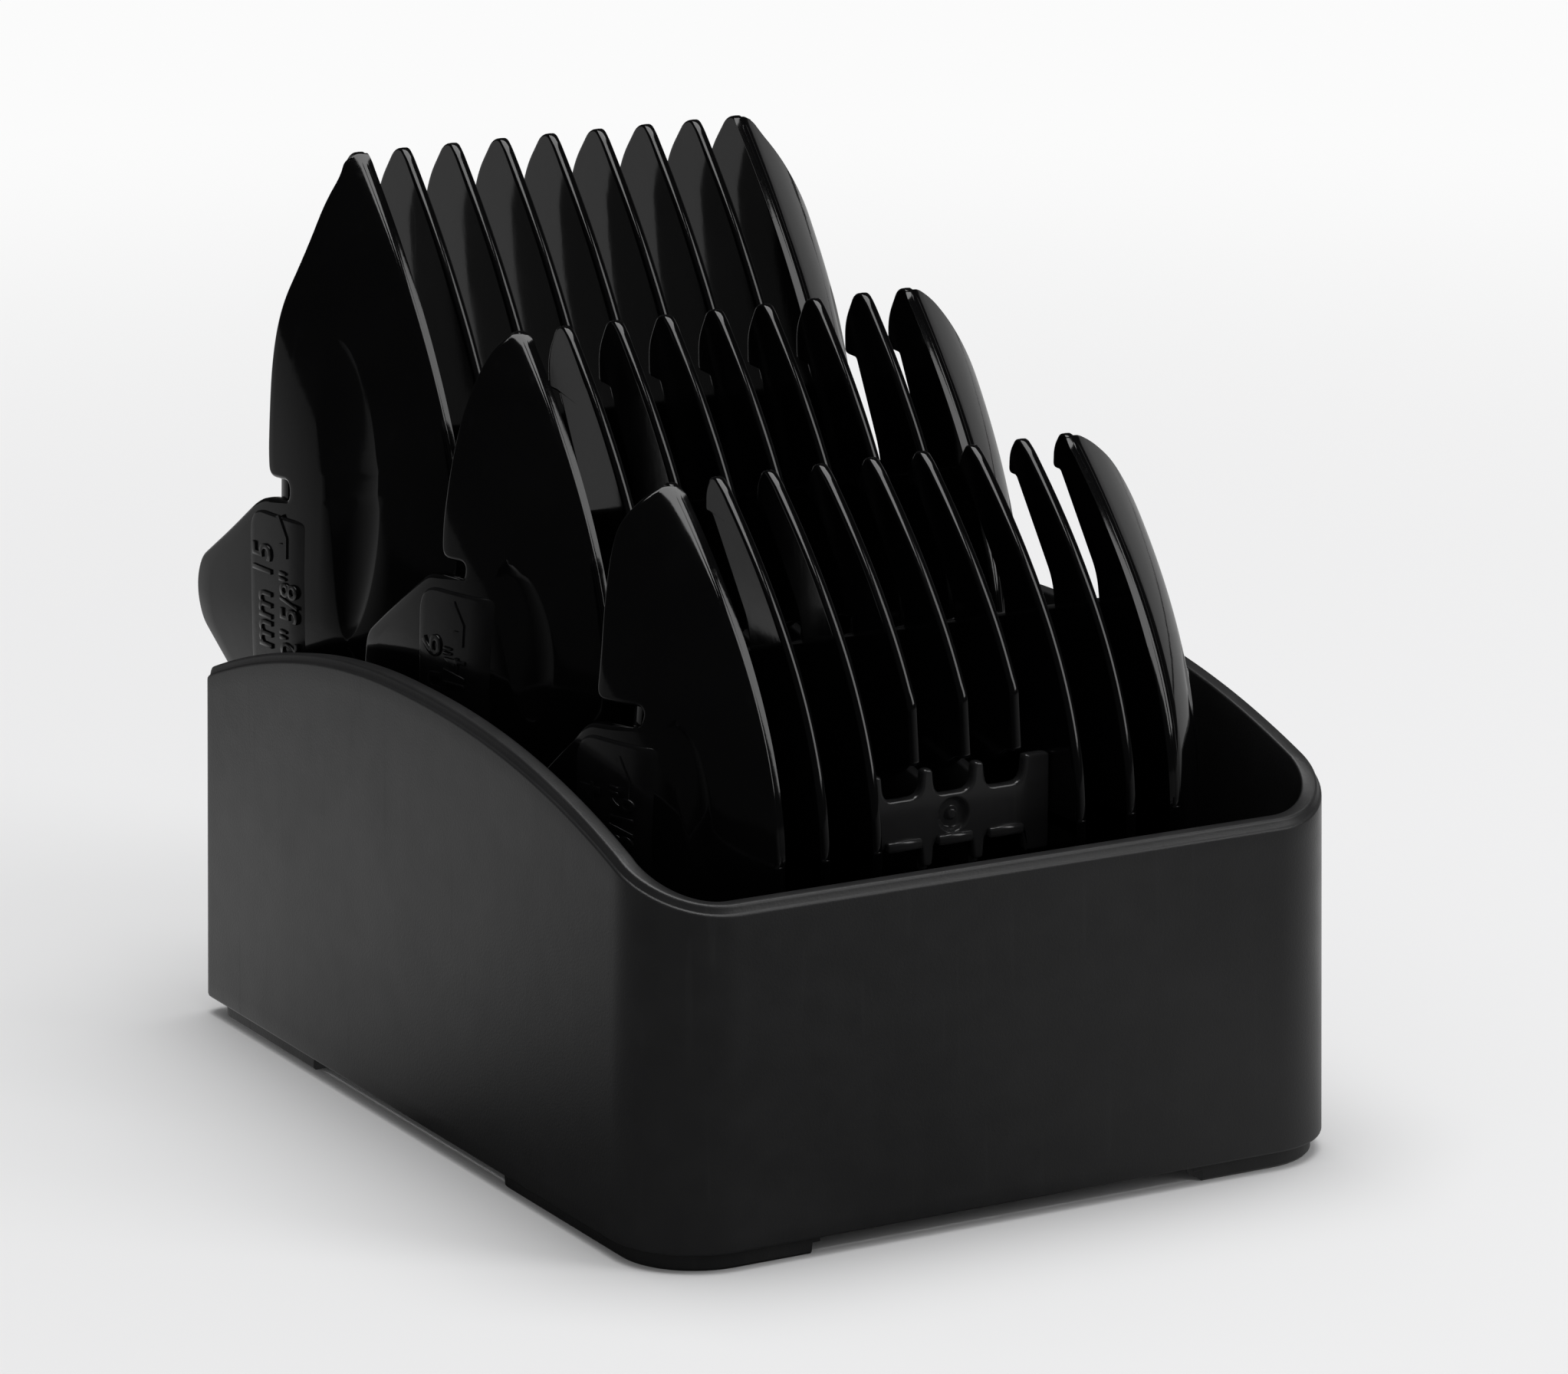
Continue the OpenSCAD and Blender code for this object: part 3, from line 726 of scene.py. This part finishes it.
# %% [markdown]
# ## Blade bed and centre panel
# The bed is the flat web between the cheeks that the clipper's blade slides on. The centre
# panel is a small web in front of it, scalloped above and below where the middle tines
# end, with a round moulding dimple and a pip in it. Both are plates turned to face the
# front: rows run across the comb, and the thickness runs in depth.


# %% Bed
def turned(grid):
    """Swaps a plate built in (offset, v, w) so that v runs across the comb and the thickness in depth."""
    return grid[..., [1, 0, 2]]


BED_HALF, BED_T, PANEL_LIFT = 20.0, 1.8, 1.9
for name, comb in COMBS.items():
    mid = float(cheek_out(comb, comb["bed"], 0.0)) - CHEEK / 2
    end = float(cheek_out(comb, comb["bed"], BED_HALF)) - CHEEK / 2
    corners = np.array([[-mid, 0], [-end, -BED_HALF], [end, -BED_HALF], [mid, 0], [end, BED_HALF], [-end, BED_HALF]])
    outline = round_corners(corners, [0.5, 0.6, 0.6, 0.5, 0.6, 0.6])
    depth = comb["bed"] + BED_T / 2
    bed = turned(plate(outline, BED_T, 0.06, lambda v, w: np.full_like(v, depth), np.linspace(0, 1, 9), 2.0))
    build(f"{name}_blade_bed_web", [bed], name, [f"{name}_blade_bed"], "comb_gloss", (0, comb["y"], comb["mid"]))


# %% Panel
def panel_outline():
    """Half of a symmetric outline: flat ends and three U-shaped scallops a pitch apart, above and below."""
    half, peak, floor_ = 2 * PITCH - TINE / 2, 5.3, 2.4
    top = [(-half, peak, 0.6)]
    for k in (-1, 0, 1):
        x = k * PITCH
        top += [(x - 2.55, peak, 0.45), (x - 2.25, floor_, 1.25), (x + 2.25, floor_, 1.25), (x + 2.55, peak, 0.45)]
    top += [(half, peak, 0.6)]
    top = np.array(top)
    bottom = top[::-1] * np.array([1, -1, 1])
    return round_corners(np.concatenate([top, bottom])[:, :2], np.concatenate([top, bottom])[:, 2])


def dimple(x, w):
    """A flat-bottomed bowl of radius 1.95 mm, 0.8 mm deep, with a raised pip of radius 0.7 mm."""
    r = np.hypot(x, w)
    return 0.8 * (1 - smooth(1.45, 1.98, r)) - 0.5 * (1 - smooth(0.45, 0.8, r))


def panel_grid():
    """The panel's rows run across x, so the outline is built as (w, x) and turned back afterwards."""
    outline = panel_outline()[:, ::-1]
    columns = np.linspace(0, 1, 44)
    grid = plate(outline, PANEL_T, 0.35, lambda v, w: np.zeros_like(v), columns, 0.22, lambda v, w: dimple(w, v))
    x, depth, w = grid[..., 2], -grid[..., 0] + PANEL_V + PANEL_T / 2, grid[..., 1] + PANEL_LIFT
    return np.stack([x, depth, w], -1)


def rib_grid(comb, x):
    """A plate from the panel back to the bed."""
    corners = [(PANEL_V + 1, -4.0), (comb["bed"] + 0.5, -6.0), (comb["bed"] + 0.5, 8.0), (PANEL_V + 1, 6.0)]
    return plate(round_corners(corners, [0.4] * 4), TINE, 0.3, lambda v, w: np.full_like(v, x))


def lip_grid(number):
    """A short rounded bar, 0.7 mm proud of the panel, over the top of a lower scallop."""
    x, w = number * PITCH, PANEL_LIFT - 2.0
    bar = round_corners([(PANEL_V - 0.7, w - 1.1), (PANEL_V + 0.8, w - 1.1), (PANEL_V + 0.8, w + 0.1),
                         (PANEL_V - 0.7, w + 0.1)], [0.45] * 4)
    return plate(bar, 4.3, 0.35, lambda v, w: np.full_like(v, x), step=0.6)


for name, comb in COMBS.items():
    parts = [panel_grid(), rib_grid(comb, -PITCH / 2),
             rib_grid(comb, PITCH / 2)] + [lip_grid(number) for number in (-1, 0, 1)]
    # The centre panel, its ribs and its lips take the lighter finish: painted reflection in the base colour.
    build(f"{name}_centre_panel_scalloped", parts, name, [f"{name}_centre_panel"], "comb_panel",
          (0, comb["y"], comb["mid"]), look="panel_painted_reflection")

# %% [markdown]
# ## Size plates
# A low pad on each cheek carries the cutting lengths as raised figures that read upwards.
# The pad is a plate wrapped on the cheek, and the figures are text made into a mesh and
# then laid on the same surface, so that they follow its curve.


# %% Figures
def text_mesh(words, height, raise_by):
    """Outline text as a mesh lying flat: x along the words, y up, centred, with the given cap height in mm."""
    curve = bpy.data.curves.new("figures", "FONT")
    curve.body, curve.align_x, curve.align_y = words, "CENTER", "BOTTOM_BASELINE"
    curve.space_character = 0.95
    curve.resolution_u, curve.size, curve.extrude = 4, height / 0.7, raise_by
    curve.bevel_depth, curve.bevel_resolution, curve.offset = 0.06, 1, 0.02
    holder = bpy.data.objects.new("figures", curve)
    scene.collection.objects.link(holder)
    bpy.context.view_layer.update()
    mesh = bpy.data.meshes.new_from_object(holder.evaluated_get(bpy.context.evaluated_depsgraph_get()))
    bpy.data.objects.remove(holder)
    bpy.data.curves.remove(curve)
    return mesh


def lay_on_cheek(mesh, comb, side, base_v, lift, at_w, narrow):
    """Moves flat points (x, y, z) to height w = narrow x, depth v = base + y and out of the cheek by z."""
    co = np.zeros(len(mesh.vertices) * 3)
    mesh.vertices.foreach_get("co", co)
    co = co.reshape(-1, 3)
    w, v = at_w + co[:, 0] * narrow * (1 if side < 0 else -1), base_v + co[:, 1]
    x = cheek_out(comb, v, w) + lift + co[:, 2]
    placed = np.stack([side * x, v + comb["y"], w + comb["mid"]], 1) * MM
    mesh.vertices.foreach_set("co", placed.ravel())
    mesh.update()
    return mesh


def arrow_mesh(raise_by):
    """A thin arrow-like tick mark, drawn as an outline and given thickness."""
    line = [(-2.2, 0.0), (0.2, 0.0), (2.6, 1.7), (2.4, 2.2), (0.1, 0.6), (-0.6, 0.6), (-0.6, 1.5), (-1.1, 1.5),
            (-1.1, 0.6), (-2.2, 0.6)]
    count = len(line)
    points = [(x, y, z) for z in (-raise_by, raise_by + 0.06) for x, y in line]
    sides = [(i, (i + 1) % count, count + (i + 1) % count, count + i) for i in range(count)]
    mesh = bpy.data.meshes.new("arrow")
    mesh.from_pydata(points, [], [tuple(range(count))[::-1], tuple(range(count, 2 * count))] + sides)
    return mesh


RAISE, PLATE_DEEP = 0.35, 11.4
for name, comb in COMBS.items():
    rear, half_h = comb["plate"], comb["plate_half"]
    corners = [(rear - PLATE_DEEP, -half_h), (rear, -half_h), (rear, half_h), (rear - PLATE_DEEP, half_h)]
    outline = round_corners(corners, [0.9, 3.2, 3.2, 0.9], 12)
    lifted = lambda v, w: cheek_out(comb, v, w) - 0.45 + RAISE * smooth(rear - PLATE_DEEP, rear - PLATE_DEEP + 2.4, v)
    pads, words = [], []
    for side in (-1, 1):
        pad = plate(outline, 0.9, 0.3, lifted, np.linspace(0, 1, 13), 0.8)
        pad[..., 0] *= side
        pads.append(pad)
        for line, (base, size, at_w, narrow) in zip(comb["text"], comb["rows"]):
            words.append(lay_on_cheek(text_mesh(line, size, 0.12), comb, side, base, RAISE + 0.05, at_w, narrow))
        words.append(lay_on_cheek(arrow_mesh(0.12), comb, side, comb["arrow"][0], RAISE + 0.02, comb["arrow"][1],
                                  1.0))
    build(f"{name}_size_plates_figured", pads, name, [f"{name}_size_plates"], "comb_panel",
          (0, comb["y"], comb["mid"]), extra=words)
    for mesh in words:
        bpy.data.meshes.remove(mesh)

# %% [markdown]
# ## Finish for the nodes that stay
# The base plate and the rack are right as they are in CAD, so they only take a finish.

# %% CAD nodes
for kept, material in (("base_plate", "tray_satin"), ("comb_rack", "rack_satin")):
    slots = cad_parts[kept].data.materials
    slots.clear()
    slots.append(finish[material])
print("kept CAD nodes:", "base_plate", "comb_rack")

# %% [markdown]
# ## Floor, lights and surroundings
# The floor is a pale sweep that fills the view. Black plastic shows only what it reflects,
# so soft boxes stand where each face mirrors them: one behind on the right for the flared
# cheeks, one above for the rims and tips, and a tall one in front for the tines' edges.

# %% Floor
floor_mesh = bpy.data.meshes.new("pale_floor")
floor_mesh.from_pydata([(-4, -4, 0), (4, -4, 0), (4, 4, 0), (-4, 4, 0)], [], [(0, 1, 2, 3)])
floor = bpy.data.objects.new("pale_floor", floor_mesh)
scene.collection.objects.link(floor)
paper = bpy.data.materials.new("pale_paper")
paper.use_nodes = True
paper_shader = paper.node_tree.nodes["Principled BSDF"]
paper_shader.inputs["Base Color"].default_value = (0.83, 0.83, 0.835, 1)
paper_shader.inputs["Roughness"].default_value = 0.9
paper_shader.inputs["Specular IOR Level"].default_value = 0.1
floor_mesh.materials.append(paper)

# Glossy plastic mirrors a floor that is bright behind and to the right, and dark in front and
# to the left: L = 0.5 + 0.5 ny + 0.45 nx, (nx, ny) being the direction of the floor point. It
# falls to 0.42 of that beyond a quarter of a metre. The far floor rises to white, as a sweep does.
tree = paper.node_tree
tree.nodes["Material Output"].location = (900, 0)
paper_shader.location = (300, 200)
place = node(tree, "ShaderNodeNewGeometry", (-700, -100))
flat = node(tree, "ShaderNodeVectorMath", (-500, -100), operation="MULTIPLY", in_1=(1, 1, 0))
unit = node(tree, "ShaderNodeVectorMath", (-300, -100), operation="NORMALIZE")
lean = node(tree, "ShaderNodeVectorMath", (-100, -100), operation="DOT_PRODUCT", in_1=(0.45, 0.5, 0))
level = node(tree, "ShaderNodeMapRange", (100, -100), in_1=-0.48, in_2=0.5, in_3=0.02, in_4=1.0)
reach = node(tree, "ShaderNodeVectorMath", (-300, -350), operation="LENGTH")
fall = node(tree, "ShaderNodeMapRange", (-100, -350), in_1=0.17, in_2=0.26, in_3=1.0, in_4=0.42)
dimmed = node(tree, "ShaderNodeMath", (200, -250), operation="MULTIPLY")
glow = node(tree, "ShaderNodeEmission", (400, -100))
sweep = node(tree, "ShaderNodeMapRange", (-100, -600), in_1=0.12, in_2=0.62, in_3=0.0, in_4=1.0,
             interpolation_type="SMOOTHSTEP")
white = node(tree, "ShaderNodeEmission", (300, -500), in_Strength=0.965)
by_reach = node(tree, "ShaderNodeMixShader", (500, 200))
by_ray = node(tree, "ShaderNodeMixShader", (700, 0))
ray = node(tree, "ShaderNodeLightPath", (300, 500))
for source, goal in ((place.outputs["Position"], flat.inputs[0]), (flat.outputs[0], unit.inputs[0]),
                     (unit.outputs[0], lean.inputs[0]),
                     (lean.outputs["Value"], level.inputs[0]), (flat.outputs[0], reach.inputs[0]),
                     (reach.outputs["Value"], fall.inputs[0]), (reach.outputs["Value"], sweep.inputs[0]),
                     (level.outputs[0], dimmed.inputs[0]), (fall.outputs[0], dimmed.inputs[1]),
                     (dimmed.outputs[0], glow.inputs["Strength"]),
                     (sweep.outputs[0], by_reach.inputs[0]), (paper_shader.outputs[0], by_reach.inputs[1]),
                     (white.outputs[0], by_reach.inputs[2]),
                     (ray.outputs["Is Glossy Ray"], by_ray.inputs[0]), (by_reach.outputs[0], by_ray.inputs[1]),
                     (glow.outputs[0], by_ray.inputs[2]),
                     (by_ray.outputs[0], tree.nodes["Material Output"].inputs[0])):
    tree.links.new(source, goal)
print("floor:", paper.name)


# %% Lights
def soft_box(name, place, target, size, power):
    """A square area light at a place, turned to a target, with its power in watts."""
    light = bpy.data.lights.new(name, "AREA")
    light.shape, light.size, light.size_y, light.energy = "RECTANGLE", size[0], size[1], power
    made = bpy.data.objects.new(name, light)
    scene.collection.objects.link(made)
    made.location = place
    made.rotation_mode = "QUATERNION"
    made.rotation_quaternion = (Vector(target) - Vector(place)).to_track_quat("-Z", "Y")
    return made


soft_box("rear_right_box", (1.20, 0.45, 0.40), (0, 0, 0.05), (0.8, 0.7), 0.7)
soft_box("top_box", (0.05, 0.05, 1.1), (0, 0, 0), (0.9, 0.8), 8.5)
soft_box("front_right_box", (0.55, -0.65, 0.62), (0, 0, 0.05), (0.30, 0.90), 2.3)

# %% World
world = bpy.data.worlds.new("studio")
scene.world = world
world.use_nodes = True
sky = world.node_tree
sky.nodes.clear()
sky_out = node(sky, "ShaderNodeOutputWorld", (600, 0))
path = node(sky, "ShaderNodeLightPath", (-600, 0))
seen = node(sky, "ShaderNodeBackground", (0, 200), in_Color=(1, 1, 1, 1), in_Strength=0.97)
dim = node(sky, "ShaderNodeBackground", (0, -300), in_Color=(1, 1, 1, 1), in_Strength=0.03)
ambient = node(sky, "ShaderNodeBackground", (0, -50), in_Color=(1, 1, 1, 1), in_Strength=0.35)
by_gloss = node(sky, "ShaderNodeMixShader", (200, -100))
by_camera = node(sky, "ShaderNodeMixShader", (400, 0))
for source, goal in ((path.outputs["Is Glossy Ray"], by_gloss.inputs[0]), (ambient.outputs[0], by_gloss.inputs[1]),
                     (dim.outputs[0], by_gloss.inputs[2]),
                     (path.outputs["Is Camera Ray"], by_camera.inputs[0]), (by_gloss.outputs[0], by_camera.inputs[1]),
                     (seen.outputs[0], by_camera.inputs[2]),
                     (by_camera.outputs[0], sky_out.inputs[0])):
    sky.links.new(source, goal)
